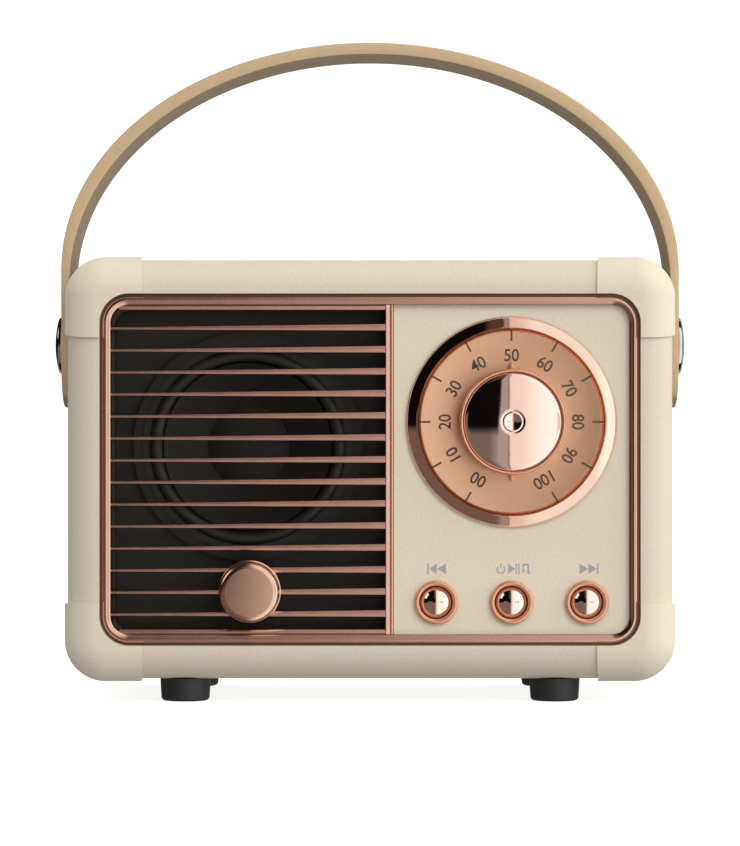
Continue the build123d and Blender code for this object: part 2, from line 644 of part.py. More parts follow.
# Buttons: a copper ring pressed into the panel, with a domed cap that travels in its bore
RING_BACK_Y = PANEL_BACK_Y + 0.4
for name, step in BUTTONS:
    button_x = DIAL_X + step * BUTTON_PITCH
    save(f"button_ring_{name}", spun(button_x, BUTTON_Z, [
        (BUTTON_R + 0.1, RING_BACK_Y), (BUTTON_R + 0.1, PANEL_Y - 0.6),
        (BUTTON_R + 0.35, PANEL_Y - 0.9), (BUTTON_RING_R - 0.3, PANEL_Y - 0.9),
        (BUTTON_RING_R, PANEL_Y - 0.6), (BUTTON_RING_R, PANEL_Y), (RING_BORE_R, PANEL_Y),
        (RING_BORE_R, RING_BACK_Y)]))
    button_plane = Plane(origin=(button_x, 0, BUTTON_Z), x_dir=(1, 0, 0), z_dir=(0, 0, 1))
    with BuildPart() as button_cap:
        with BuildSketch(button_plane):
            with BuildLine():
                dome = ThreePointArc((0, PANEL_Y - 1.5), (1.5, PANEL_Y - 1.33), (BUTTON_R, PANEL_Y - 0.8))
                Polyline(dome @ 1, (BUTTON_R, RING_BACK_Y + 0.1), (3.4, RING_BACK_Y + 0.1),
                         (3.4, RING_BACK_Y + 0.8), (1.2, RING_BACK_Y + 0.8), (1.2, BOARD_Y - 4.15),
                         (0, BOARD_Y - 4.15), dome @ 0)
            make_face()
        revolve(axis=Axis((button_x, 0, BUTTON_Z), (0, 1, 0)))
    save(f"button_{name}", button_cap.part)

with BuildPart() as tact_switches:
    with BuildSketch(facing(BOARD_Y)):
        with Locations((DIAL_X, BUTTON_Z)):
            with GridLocations(BUTTON_PITCH, 1.0, 3, 1):
                Rectangle(6.0, 6.0)
    extrude(amount=3.2)
    with BuildSketch(facing(BOARD_Y - 3.2)):
        with Locations((DIAL_X, BUTTON_Z)):
            with GridLocations(BUTTON_PITCH, 1.0, 3, 1):
                Circle(1.6)
    extrude(amount=0.35)
save("tact_switches", tact_switches.part)

with BuildPart() as control_board:
    with BuildSketch(facing(BOARD_Y + BOARD_T)):
        with Locations((6.8, 12.5)):
            Rectangle(42.0, 60.0, align=(Align.MIN, Align.MIN))
        with Locations(*BOARD_POSTS):
            Circle(1.0 + GAP, mode=Mode.SUBTRACT)
    extrude(amount=BOARD_T)
save("control_board", control_board.part)

# Main board with its components and charging socket, held on the rear shell's posts
with BuildPart() as main_board:
    with BuildSketch(facing(MAIN_BOARD_Y + BOARD_T)):
        with Locations((5.0, 49.5)):
            RectangleRounded(70.0, 33.0, 2.0)
        with Locations(*MAIN_POSTS):
            Circle(1.0 + GAP, mode=Mode.SUBTRACT)
    extrude(amount=BOARD_T)
save("main_board", main_board.part)

with BuildPart() as board_parts:
    with BuildSketch(facing(MAIN_BOARD_Y)):
        with Locations((8.0, 50.0)):
            Rectangle(10.0, 10.0)
        with Locations((24.0, 52.0), (24.0, 43.0)):
            Rectangle(5.0, 6.2)
    extrude(amount=1.6)
    with BuildSketch(facing(MAIN_BOARD_Y)):
        with Locations((33.0, 50.0), (33.0, 58.0), (-14.0, 40.0)):
            Circle(3.1)
    extrude(amount=7.0)
save("board_parts", board_parts.part)

with BuildPart() as usb_socket:
    with BuildSketch(facing(REAR_FACE_Y - 0.2)):
        with Locations((USB_X, USB_Z)):
            SlotOverall(9.0, 3.2)
            SlotOverall(8.4, 2.6, mode=Mode.SUBTRACT)
    extrude(amount=REAR_FACE_Y - 0.2 - MAIN_BOARD_Y - BOARD_T)
    with BuildSketch(facing(MAIN_BOARD_Y + BOARD_T + 1.5)):
        with Locations((USB_X, USB_Z)):
            SlotOverall(8.6, 2.8)
    extrude(amount=1.5)
    with BuildSketch(facing(REAR_FACE_Y - 1.0)):
        with Locations((USB_X, USB_Z)):
            Rectangle(6.6, 0.7)
    extrude(amount=REAR_FACE_Y - 1.0 - MAIN_BOARD_Y - BOARD_T)
save("usb_socket", usb_socket.part)

# Battery cell in its tray on the floor, and the antenna rod under the roof
with BuildPart() as battery_cell:
    with BuildSketch(side_plane(CELL_X)):
        with Locations((CELL_Y, CELL_Z)):
            Circle(CELL_R)
    extrude(amount=CELL_L)
    fillet(battery_cell.edges(), 0.6)
save("battery_cell", battery_cell.part)

with BuildPart() as battery_holder:
    with BuildSketch(side_plane(CELL_X - HOLDER_WALL)):
        with Locations((CELL_Y, CELL_Z - 11.2)):
            Rectangle(21.0, 10.0, align=(Align.CENTER, Align.MIN))
    extrude(amount=CELL_L + 2 * HOLDER_WALL)
    with BuildSketch(side_plane(CELL_X - 4 * GAP)):
        with Locations((CELL_Y, CELL_Z)):
            Circle(CELL_R + 2 * GAP)
    extrude(amount=CELL_L + 8 * GAP, mode=Mode.SUBTRACT)
save("battery_holder", battery_holder.part)

with BuildPart() as ferrite_rod:
    with BuildSketch(side_plane(-ROD_L / 2)):
        with Locations((ROD_Y, ROD_Z)):
            Circle(ROD_R)
    extrude(amount=ROD_L)
save("ferrite_rod", ferrite_rod.part)

with BuildPart() as antenna_coil:
    with BuildSketch(side_plane(-COIL_L / 2)):
        with Locations((ROD_Y, ROD_Z)):
            Circle(4.9)
            Circle(ROD_R + GAP, mode=Mode.SUBTRACT)
    extrude(amount=COIL_L)
save("antenna_coil", antenna_coil.part)

# Leads inside the case: speaker to main board, and battery to main board
LEAD_R = 0.6
leads = ([(-7.0, -7.4, 46.6), (-2.0, -2.0, 46.0), (1.0, 6.0, 47.0), (0.0, 16.2, 49.0)],
         [(29.2, CELL_Y, CELL_Z), (35.0, CELL_Y, 22.5), (37.0, 13.0, 30.0), (34.0, 16.2, 39.0)])
with BuildPart() as internal_leads:
    for points in leads:
        runs = [(Vector(b) - Vector(a)) for a, b in zip(points, points[1:])]
        turns = [first.get_angle(second) for first, second in zip(runs, runs[1:])]
        radii = [0.45 * min(first.length, second.length) / tan(radians(turn) / 2)
                 for first, second, turn in zip(runs, runs[1:], turns)]
        with BuildLine() as route:
            FilletPolyline(*points, radius=radii)
        with BuildSketch(Plane(origin=points[0], z_dir=runs[0])):
            Circle(LEAD_R)
        sweep(path=route.line)
        print("lead radii", [round(radius, 1) for radius in radii])
save("internal_leads", internal_leads.part)

# Feet: tapered rubber, each held by a screw sunk in its middle
for depth_name, depth in (("front", -1), ("rear", 1)):
    for side_name, side in SIDES:
        with BuildPart() as foot:
            with BuildSketch(Plane.XY):
                with Locations((side * FOOT_X, depth * FOOT_Y)):
                    Circle(FOOT_TIP_R)
            with BuildSketch(Plane.XY.offset(FOOT_H)):
                with Locations((side * FOOT_X, depth * FOOT_Y)):
                    Circle(FOOT_R)
            loft()
            fillet(foot.edges().sort_by(Axis.Z)[0], 0.7)
            with BuildSketch(Plane.XY):
                with Locations((side * FOOT_X, depth * FOOT_Y)):
                    Circle(2.1)
            extrude(amount=2.6, mode=Mode.SUBTRACT)
            with BuildSketch(Plane.XY):
                with Locations((side * FOOT_X, depth * FOOT_Y)):
                    Circle(SCREW_R + GAP)
            extrude(amount=FOOT_H, mode=Mode.SUBTRACT)
        save(f"foot_{depth_name}_{side_name}", foot.part)

with BuildPart() as foot_screws:
    for x in (-FOOT_X, FOOT_X):
        for y in (-FOOT_Y, FOOT_Y):
            with Locations(Plane(origin=(x, y, 2.6), z_dir=(0, 0, -1))):
                add(screw(2.0, 1.1, SCREW_R, 4.8))
save("foot_screws", foot_screws.part)

with BuildPart() as case_screws:
    for _, side in SIDES:
        for _, level in LEVELS:
            head = (side * SCREW_X, REAR_Y - 3.5, TRIM_Z + level * SCREW_DZ)
            with Locations(Plane(origin=head, x_dir=(1, 0, 0), z_dir=(0, 1, 0))):
                add(screw(2.2, 1.4, SCREW_R, 24.0))
save("case_screws", case_screws.part)

# Strap handle: a leather band bent into an arch, with rounded tails and a hole for each stud
STRAP_REACH = STRAP_OUT_X + 2.0
with BuildPart() as handle_strap:
    with BuildSketch(facing(STRAP_W / 2)):
        with BuildLine():
            outer = EllipticalCenterArc((0, STRAP_SPRING_Z), STRAP_OUT_X, STRAP_TOP_Z - STRAP_SPRING_Z,
                                        start_angle=0, arc_size=180)
            inner_rise = STRAP_TOP_Z - STRAP_CROWN_T - STRAP_IN_SPRING_Z
            inner = EllipticalCenterArc((0, STRAP_IN_SPRING_Z), STRAP_IN_X, inner_rise,
                                        start_angle=0, arc_size=180)
            Polyline(outer @ 0, (STRAP_OUT_X, STRAP_IN_SPRING_Z), inner @ 0)
            Polyline(outer @ 1, (-STRAP_OUT_X, STRAP_IN_SPRING_Z), inner @ 1)
        make_face()
        for _, side in SIDES:
            with Locations((side * (STRAP_IN_X + STRAP_OUT_X) / 2, STRAP_IN_SPRING_Z)):
                Rectangle(STRAP_OUT_X - STRAP_IN_X, 30.0, align=(Align.CENTER, Align.MAX))
    extrude(amount=STRAP_W)
    with BuildSketch(side_plane(-STRAP_REACH)):
        with Locations((0, PIVOT_Z - STRAP_TAIL)):
            Circle(STRAP_W / 2)
            Rectangle(STRAP_W, 60.0, align=(Align.CENTER, Align.MIN))
        with Locations((0, PIVOT_Z)):
            Circle(SHANK_R + GAP, mode=Mode.SUBTRACT)
    extrude(amount=2 * STRAP_REACH, mode=Mode.INTERSECT)
save("handle_strap", handle_strap.part)

# Studs: a domed head on a shank, with a washer under the strap and a nut inside the case
stud_plane = Plane(origin=(0, 0, PIVOT_Z), x_dir=(1, 0, 0), z_dir=(0, -1, 0))
for side_name, side in SIDES:
    with BuildPart() as stud:
        with BuildSketch(stud_plane):
            with BuildLine():
                head_x = STRAP_OUT_X + 0.1
                dome = ThreePointArc((STUD_FACE_X, 0), (STUD_FACE_X - 0.2, STUD_R * 0.55),
                                     (STUD_FACE_X - 0.7, STUD_R - 0.5))
                Polyline(dome @ 1, (STUD_FACE_X - 0.9, STUD_R), (head_x, STUD_R), (head_x, SHANK_R),
                         (CAVITY_X - 2.6, SHANK_R), (CAVITY_X - 2.6, 0), dome @ 0)
            make_face()
        revolve(axis=Axis((0, 0, PIVOT_Z), (1, 0, 0)))
    placed = stud.part
    if side < 0:
        placed = stud.part.mirror(Plane.YZ)
    save(f"pivot_stud_{side_name}", placed)

with BuildPart() as pivot_washers:
    with BuildSketch(side_plane(SIDE_X)):
        with Locations((0, PIVOT_Z)):
            Circle(4.0)
            Circle(SHANK_R + GAP, mode=Mode.SUBTRACT)
    extrude(amount=STRAP_IN_X - SIDE_X - 2 * GAP)
    mirror(about=Plane.YZ)
save("pivot_washers", pivot_washers.part)

with BuildPart() as pivot_nuts:
    with Locations(Plane(origin=(CAVITY_X, 0, PIVOT_Z), z_dir=(-1, 0, 0))):
        add(hex_nut(6.4, SHANK_R + GAP, 2.2))
    mirror(about=Plane.YZ)
save("pivot_nuts", pivot_nuts.part)
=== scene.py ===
import json
from math import atan2, cos, pi, radians, sin
import bpy
from mathutils import Matrix, Vector


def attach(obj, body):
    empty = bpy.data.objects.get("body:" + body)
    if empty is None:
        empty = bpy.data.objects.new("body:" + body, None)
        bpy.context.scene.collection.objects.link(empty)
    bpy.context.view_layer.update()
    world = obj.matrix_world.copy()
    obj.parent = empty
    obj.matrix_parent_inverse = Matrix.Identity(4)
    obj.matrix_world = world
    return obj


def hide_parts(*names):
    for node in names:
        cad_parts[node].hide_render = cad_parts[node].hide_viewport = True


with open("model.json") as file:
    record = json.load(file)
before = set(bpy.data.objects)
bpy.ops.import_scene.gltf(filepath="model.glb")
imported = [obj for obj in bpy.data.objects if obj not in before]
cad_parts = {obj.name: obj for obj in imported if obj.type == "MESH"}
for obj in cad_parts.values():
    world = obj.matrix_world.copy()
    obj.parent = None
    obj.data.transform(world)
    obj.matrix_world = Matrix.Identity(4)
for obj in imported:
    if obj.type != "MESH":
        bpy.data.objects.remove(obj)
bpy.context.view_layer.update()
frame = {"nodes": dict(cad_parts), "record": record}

# Camera and studio. The radio stands on a pale sweep that curves up behind it. The camera is level
# with the middle of the case, straight in front, far enough away for a calm perspective.
MM = 0.001
CAMERA_HEIGHT = 50.9 * MM
CAMERA_DISTANCE = 648.5 * MM
camera_data = bpy.data.cameras.new("camera")
camera_data.lens = 145.96
camera_data.sensor_width = 36.0
camera = bpy.data.objects.new("camera", camera_data)
camera.location = (0, -CAMERA_DISTANCE, CAMERA_HEIGHT)
camera.rotation_euler = (pi / 2, 0, 0)
bpy.context.scene.collection.objects.link(camera)
bpy.context.scene.camera = camera
bpy.context.scene.view_settings.view_transform = "Standard"


class Socket:
    """One output of a shader node, on which sums and products can be written."""

    def __init__(self, shader, output):
        self.shader = shader
        self.output = output

    def math(self, operation, first, second=0.0):
        """A node that works out operation on first and second."""
        return self.shader.node("Math", {"operation": operation}, {0: first, 1: second})

    def __add__(self, other):
        return self.math("ADD", self, other)

    def __radd__(self, other):
        return self.math("ADD", other, self)

    def __sub__(self, other):
        return self.math("SUBTRACT", self, other)

    def __rsub__(self, other):
        return self.math("SUBTRACT", other, self)

    def __mul__(self, other):
        return self.math("MULTIPLY", self, other)

    def __rmul__(self, other):
        return self.math("MULTIPLY", other, self)

    def __abs__(self):
        return self.math("ABSOLUTE", self)

    def rise(self, low, high):
        """0 below low, 1 above high, smooth between."""
        settings = {"interpolation_type": "SMOOTHSTEP"}
        return self.shader.node("MapRange", settings, {0: self, 1: low, 2: high, 3: 0.0, 4: 1.0})


class Shader:
    """Builds one node tree: a material's, or the world's."""

    def __init__(self, tree):
        self.tree = tree
        tree.nodes.clear()

    def node(self, kind, settings=None, sockets=None, out=0):
        """Adds a node with these settings and inputs, and returns its output called out, if any."""
        made = self.tree.nodes.new("ShaderNode" + kind)
        for key, value in (settings or {}).items():
            setattr(made, key, value)
        for key, value in (sockets or {}).items():
            if isinstance(value, Socket):
                self.tree.links.new(value.output, made.inputs[key])
            else:
                made.inputs[key].default_value = value
        return Socket(self, made.outputs[out]) if made.outputs else None

    def mix(self, mask, first, second):
        """The first colour where mask is 0, the second where it is 1."""
        colours = [c if isinstance(c, Socket) else (*c, 1) for c in (first, second)]
        return self.node("Mix", {"data_type": "RGBA"}, {0: mask, 6: colours[0], 7: colours[1]}, out=2)


# The world lights matt surfaces softly, most from above and the right. Polished surfaces mirror a
# studio: a tall bright screen to the right, a dark flag to the upper left with a lamp beyond it,
# a dim wall to the left, a brown shade overhead and grey walls behind. Past the paper all is white.
SCREEN_NEAR = (0.96, 0.77, 0.72)
SCREEN_FAR = (1.1, 1.14, 1.12)
SCREEN_SIDE = (0.8, 0.69, 0.62)
SCREEN_EDGE = (1.4, 1.5, 1.5)
FLAG = (0.004, 0.003, 0.003)
LOW_LEFT = (0.19, 0.14, 0.125)
LOW_NEAR = (0.34, 0.28, 0.27)
LEFT_WALL = (0.2, 0.13, 0.1)
OVERHEAD = (0.1, 0.06, 0.045)
MIDDLE = (0.42, 0.36, 0.34)
EDGE_LINE = (0.16, 0.1, 0.09)
LAMP = (1.5, 1.35, 1.25)
BEHIND = (0.42, 0.42, 0.43)
BEHIND_LEFT = (0.3, 0.3, 0.31)
SOFT_DIM = (0.4, 0.4, 0.4)
SOFT_BRIGHT = (1.1, 1.09, 1.06)
BACKDROP = (1.05, 1.05, 1.05)

world = bpy.data.worlds.new("studio")
world.use_nodes = True
bpy.context.scene.world = world
sky = Shader(world.node_tree)
split = sky.node("SeparateXYZ", None, {0: sky.node("TexCoord")}).output.node.outputs
across, depth, up = [Socket(sky, output) for output in split]
low_shade = sky.mix(across.rise(-0.1, -0.04), LOW_LEFT, LOW_NEAR)
high_shade = sky.mix(up.rise(0.28, 0.36) * (across + 0.2).rise(0.0, 0.08), FLAG, OVERHEAD)
left_shade = sky.mix((-0.02 - up).rise(0.0, 0.07), high_shade, low_shade)
level_left = (-0.28 - across).rise(0.0, 0.08) * (0.74 + across).rise(0.0, 0.04)
level_left = level_left * (0.1 - abs(up)).rise(0.0, 0.04)
left_shade = sky.mix(level_left, left_shade, LEFT_WALL)
right_shade = sky.mix(across.rise(0.05, 0.26), SCREEN_NEAR, SCREEN_FAR)
level_right = across.rise(0.32, 0.4) * (0.11 - abs(up)).rise(0.0, 0.05)
right_shade = sky.mix(level_right, right_shade, SCREEN_SIDE)
right_shade = sky.mix(across.rise(0.7, 0.8), right_shade, SCREEN_EDGE)
lean = (up.rise(-0.25, 0.25) - 0.5) * 0.025
mirrored = sky.mix((across - lean).rise(-0.038, -0.03), left_shade, MIDDLE)
mirrored = sky.mix(across.rise(0.014, 0.018), mirrored, EDGE_LINE)
mirrored = sky.mix(across.rise(0.02, 0.026), mirrored, right_shade)
mirrored = sky.mix(depth.rise(-0.2, -0.12), mirrored, FLAG)
in_lamp = (-0.6 - across).rise(0.0, 0.1) * (up - 0.28).rise(0.0, 0.1) * depth.rise(-0.46, -0.4)
mirrored = sky.mix(in_lamp, mirrored, LAMP)
behind_left = sky.mix((-0.05 - up).rise(0.0, 0.2), FLAG, BEHIND_LEFT)
behind = sky.mix(across.rise(-0.1, 0.1), behind_left, BEHIND)
straight_back = depth.rise(0.5, 0.9)
overhead = abs(up).rise(0.16, 0.24)
behind = sky.mix((straight_back + overhead).rise(0.0, 1.0), FLAG, behind)
behind = sky.mix(abs(up).rise(0.7, 0.9), behind, FLAG)
mirrored = sky.mix(depth.rise(0.02, 0.2), mirrored, behind)
softness = (across * 0.5 + up * 0.6 + 0.5).rise(-0.1, 1.1)
glossy = sky.node("LightPath", None, None, out="Is Glossy Ray")
seen = sky.mix(glossy, sky.mix(softness, SOFT_DIM, SOFT_BRIGHT), mirrored)
seen = sky.mix(sky.node("LightPath", None, None, out="Is Camera Ray"), seen, BACKDROP)
back = sky.node("Background", None, {"Color": seen, "Strength": 1.0})
sky.node("OutputWorld", None, {"Surface": back})


def lamp(name, place, target, size, power):
    """A square soft light at place, turned to shine on target, unseen in reflections."""
    data = bpy.data.lights.new(name, "AREA")
    data.shape = "SQUARE"
    data.size = size
    data.energy = power
    light = bpy.data.objects.new(name, data)
    light.location = place
    light.rotation_euler = (Vector(target) - Vector(place)).to_track_quat("-Z", "Y").to_euler()
    light.visible_glossy = False
    bpy.context.scene.collection.objects.link(light)


CASE_MIDDLE = (0, 0, 0.045)
lamp("key", (0.5, -0.8, 0.7), CASE_MIDDLE, 0.5, 3.0)
lamp("right", (0.9, -0.1, 0.3), CASE_MIDDLE, 0.4, 2.0)
lamp("rear", (-0.4, 0.9, 0.6), CASE_MIDDLE, 0.5, 4.0)

# The paper lies flat as far as SWEEP_BACK, then turns up on a radius and stands.
SWEEP_WIDE = 8.0
SWEEP_LONG = 5.0
SWEEP_FRONT = -2.2
SWEEP_BACK = 1.6
SWEEP_R = 0.6
STANDING_STRETCH = 2.0
bpy.ops.object.select_all(action="DESELECT")
bpy.ops.mesh.primitive_grid_add(x_subdivisions=2, y_subdivisions=60, size=1, location=(0, 0, 0))
sweep = bpy.context.object
sweep.name = "sweep"
for vertex in sweep.data.vertices:
    vertex.co.x *= SWEEP_WIDE
    vertex.co.y = (vertex.co.y + 0.5) * SWEEP_LONG + SWEEP_FRONT
    if vertex.co.y > SWEEP_BACK:
        turn = min((vertex.co.y - SWEEP_BACK) / SWEEP_R, pi / 2)
        rest = vertex.co.y - SWEEP_BACK - turn * SWEEP_R
        vertex.co.y = SWEEP_BACK + SWEEP_R * sin(turn)
        vertex.co.z = SWEEP_R * (1 - cos(turn)) + rest * STANDING_STRETCH
bpy.ops.object.shade_smooth()
sweep.visible_glossy = False
sweep.visible_diffuse = False
pale = bpy.data.materials.new("pale_paper")
pale.use_nodes = True
paper = Shader(pale.node_tree)
paper_body = paper.node("BsdfPrincipled", None, {
    "Base Color": (0.5, 0.5, 0.5, 1), "Roughness": 0.9, "Specular IOR Level": 0.0,
    "Emission Color": (1, 1, 1, 1), "Emission Strength": 0.78})
paper.node("OutputMaterial", None, {"Surface": paper_body})
sweep.data.materials.append(pale)


# Case shells: two cream mouldings with a fine leather-like grain, screwed together from behind.
# The grain is two sizes of soft cell over a faint mottle.
class Finish(Shader):
    """One material: its nodes end in a principled shader."""

    def __init__(self, name):
        self.material = bpy.data.materials.new(name)
        self.material.use_nodes = True
        super().__init__(self.material.node_tree)
        self.place = self.node("TexCoord", None, None, out="Object")

    def noise(self, size, detail):
        """Soft noise from 0 to 1 whose features are about size across, in metres."""
        return self.node("TexNoise", None, {"Vector": self.place, "Scale": 1 / size, "Detail": detail})

    def cells(self, size):
        """Distance from the nearest of scattered points, about size apart, in metres."""
        return self.node("TexVoronoi", None, {"Vector": self.place, "Scale": 1 / size})

    def relief(self, height, depth):
        """A normal from a height of 0 to 1 that stands depth metres high."""
        return self.node("Bump", None, {"Height": height, "Strength": 1.0, "Distance": depth})

    def close(self, sockets):
        """Ends the material in a principled shader with these sockets and returns the material."""
        body = self.node("BsdfPrincipled", None, sockets)
        self.node("OutputMaterial", None, {"Surface": body})
        return self.material


def paint(piece, material):
    """Gives a piece one material all over."""
    piece.data.materials.clear()
    piece.data.materials.append(material)


CREAM = (0.72, 0.65, 0.515)
CREAM_DEEP = (0.68, 0.605, 0.47)


def cream(name, grain_depth, light, deep):
    """Cream plastic: a fine pebbled grain, a little darker and duller in its hollows."""
    skin = Finish(name)
    pebbles = skin.cells(0.55 * MM) * 0.7 + skin.cells(0.28 * MM) * 0.3
    mottle = skin.noise(9 * MM, 3.0)
    speckle = skin.noise(0.5 * MM, 2.0)
    tone = skin.mix(mottle * 0.5 + speckle * 0.5, deep, light)
    hollow = pebbles.rise(0.35, 0.75)
    return skin.close({
        "Base Color": skin.mix(hollow * 0.25, tone, [c * 0.86 for c in light]),
        "Roughness": 0.5 + hollow * 0.12 + mottle * 0.06,
        "Specular IOR Level": 0.35,
        "Normal": skin.relief(1.0 - pebbles, grain_depth)})


cream_grain = cream("case_cream", 0.035 * MM, CREAM, CREAM_DEEP)
for name in ("front_shell", "rear_shell"):
    paint(frame["nodes"][name], cream_grain)

# Corner guards: smoother caps of the same cream plastic, seated over the eight corners. Their colour
# is painted 8% lighter than the case's: painted light for the lesser shade of their shallower grain.
GUARD_CREAM_PAINTED_LIGHT = tuple(1.08 * c for c in CREAM)
GUARD_CREAM_DEEP_PAINTED_LIGHT = tuple(1.08 * c for c in CREAM_DEEP)
cream_smooth = cream("guard_cream", 0.012 * MM, GUARD_CREAM_PAINTED_LIGHT, GUARD_CREAM_DEEP_PAINTED_LIGHT)
for name, node in frame["nodes"].items():
    if name.startswith("corner_guard"):
        paint(node, cream_smooth)

# Control panel: the cream plate on the right, with a slightly bolder grain. It is the lightest of
# the cream pieces, and the dial and the buttons sit in it.
PANEL_CREAM = tuple(1.12 * c for c in CREAM)
PANEL_CREAM_DEEP = tuple(1.12 * c for c in CREAM_DEEP)
panel_grain = cream("panel_cream", 0.04 * MM, PANEL_CREAM, PANEL_CREAM_DEEP)
paint(frame["nodes"]["control_panel"], panel_grain)


# Trim frame: one copper-plated moulding round the window, pressed into the case's recess. A channel
# runs outside its rounded ridge; it and the outer wall are painted dark brown as painted shade.
def plated(name, colour, roughness, deep=0.8, metallic=1.0):
    """Copper-coloured plating: nearly smooth, with faint haze, and a deeper tone in patches."""
    skin = Finish(name)
    haze = skin.noise(2.5 * MM, 4.0)
    fine = skin.noise(0.25 * MM, 2.0)
    return skin.close({
        "Base Color": skin.mix(haze, [c * deep for c in colour], colour),
        "Metallic": metallic,
        "Roughness": roughness * 0.75 + haze * roughness * 0.4 + fine * 0.02,
        "Normal": skin.relief(fine, 0.0006 * MM)})


SMOOTH = 35


def soften(piece, width, segments=3, sharp=28, smooth=SMOOTH):
    """Rounds edges that turn by more than sharp degrees, width millimetres across, and shades
    what then turns by less than smooth degrees as one surface."""
    bpy.ops.object.select_all(action="DESELECT")
    piece.select_set(True)
    bpy.context.view_layer.objects.active = piece
    rounding = piece.modifiers.new("rounding", "BEVEL")
    rounding.width = width * MM
    rounding.segments = segments
    rounding.limit_method = "ANGLE"
    rounding.angle_limit = radians(sharp)
    bpy.ops.object.modifier_apply(modifier="rounding")
    bpy.ops.object.shade_smooth_by_angle(angle=radians(smooth))


def fit(piece, name, material, slot, body, *nodes):
    """Names and paints a finished piece, and says what it rides on and which nodes it stands for."""
    piece.name = name
    paint(piece, material)
    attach(piece, body)
    if nodes:
        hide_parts(*nodes)


def joined(pieces):
    """Joins pieces into the first of them and merges what coincides."""
    bpy.ops.object.select_all(action="DESELECT")
    for piece in pieces:
        piece.select_set(True)
    bpy.context.view_layer.objects.active = pieces[0]
    bpy.ops.object.join()
    bpy.ops.object.mode_set(mode="EDIT")
    bpy.ops.mesh.select_all(action="SELECT")
    bpy.ops.mesh.remove_doubles(threshold=1e-7)
    bpy.ops.object.mode_set(mode="OBJECT")
    return bpy.context.object


FRONT = (pi / 2, 0, 0)
TRIM_W, TRIM_H, TRIM_R = 98.1, 63.8, 5.3
TRIM_Z = 42.45
TRIM_BACK = 25.05
CHANNEL = 0.45
GAP_SHADE_BAND = 1.7
GAP_SHADE_FRONT = 25.75
# Each step goes inwards by the first number and forwards by the second, from the outer edge.
TRIM_STEPS = ((0.01, 0.6), (CHANNEL, 0), (0.08, 0.42), (0.14, 0.09), (0.15, 0.06), (0.16, 0.03),
              (0.12, 0), (0.14, -0.015), (0.17, -0.035), (0.18, -0.055), (0.17, -0.07),
              (0.13, -0.09), (0.05, -0.94))
copper_trim = plated("copper_trim", (0.73, 0.475, 0.37), 0.17, 0.9)
# Dark brown plating for the outer wall and channel: painted shade for the gap round the trim.
gap_painted_shade = plated("trim_gap_painted_shade", (0.2, 0.105, 0.068), 0.35, 0.8, 0.8)
bpy.ops.object.select_all(action="DESELECT")
trim_place = (0, -TRIM_BACK * MM, TRIM_Z * MM)
bpy.ops.mesh.primitive_plane_add(size=MM, location=trim_place, rotation=FRONT)
trim = bpy.context.object
trim.scale = (TRIM_W, TRIM_H, 1)
bpy.ops.object.transform_apply(location=True, rotation=True, scale=True)
bpy.ops.object.mode_set(mode="EDIT")
bpy.ops.mesh.select_all(action="SELECT")
bpy.ops.mesh.bevel(offset=TRIM_R * MM, segments=16, affect="VERTICES")
bpy.ops.mesh.select_all(action="SELECT")
for inset, rise in TRIM_STEPS:
    bpy.ops.mesh.inset(thickness=inset * MM, depth=rise * MM)
bpy.ops.mesh.delete(type="FACE")
bpy.ops.mesh.select_all(action="DESELECT")
bpy.ops.mesh.select_mode(type="EDGE")
bpy.ops.mesh.select_non_manifold()
bpy.ops.mesh.bridge_edge_loops()
bpy.ops.mesh.select_mode(type="VERT")
bpy.ops.mesh.select_all(action="SELECT")
bpy.ops.mesh.normals_make_consistent(inside=False)
bpy.ops.object.mode_set(mode="OBJECT")
bpy.ops.object.shade_smooth_by_angle(angle=radians(SMOOTH))
fit(trim, "trim_moulding", copper_trim, "copper_trim", "case", "trim_bezel")
# The faces of the outer wall and channel take the dark brown paint: painted shade.
trim.data.materials.append(gap_painted_shade)
for face in trim.data.polygons:
    x, y, z = face.center / MM
    outside = max(abs(x) - (TRIM_W / 2 - CHANNEL), abs(z - TRIM_Z) - (TRIM_H / 2 - CHANNEL))
    if outside > -GAP_SHADE_BAND and y > -GAP_SHADE_FRONT and face.normal.y < 0.1:
        face.material_index = 1


# Speaker grille: fourteen round-fronted copper bars between two rails, pointed at their left
# ends, with a divider at their right, beside the control panel.
def rail(profile, length):
    """A closed outline of (x, z) millimetres in the XZ plane, drawn out towards the front by length."""
    bpy.ops.object.select_all(action="DESELECT")
    bpy.ops.mesh.primitive_plane_add(size=MM)
    bpy.ops.object.mode_set(mode="EDIT")
    bpy.ops.mesh.merge(type="CENTER")
    bpy.ops.transform.translate(value=(profile[0][0] * MM, 0, profile[0][1] * MM))
    for last, point in zip(profile, profile[1:]):
        step = ((point[0] - last[0]) * MM, 0, (point[1] - last[1]) * MM)
        bpy.ops.mesh.extrude_vertices_move(TRANSFORM_OT_translate={"value": step})
    bpy.ops.mesh.select_all(action="SELECT")
    bpy.ops.mesh.edge_face_add()
    bpy.ops.mesh.extrude_region_move(TRANSFORM_OT_translate={"value": (0, -length * MM, 0)})
    bpy.ops.mesh.select_all(action="SELECT")
    bpy.ops.mesh.normals_make_consistent(inside=False)
    bpy.ops.object.mode_set(mode="OBJECT")
    return bpy.context.object


BARS = 14
BAR_TOP = 68.3
BAR_PITCH = 4
BAR_H = 1.45
BAR_FRONT, BAR_BACK = 25.6, 23.8
BAR_LEFT, BAR_RIGHT = -46.4, 3.0
ROUND_D = 0.4
ROUND_POWER = 3


def bar_front(z):
    """How far forward a bar's face stands at height z: flat in the middle, round at the edges."""
    across_part = abs(2 * z / BAR_H)
    return BAR_FRONT - ROUND_D * (1 - (1 - across_part ** ROUND_POWER) ** (1 / ROUND_POWER))


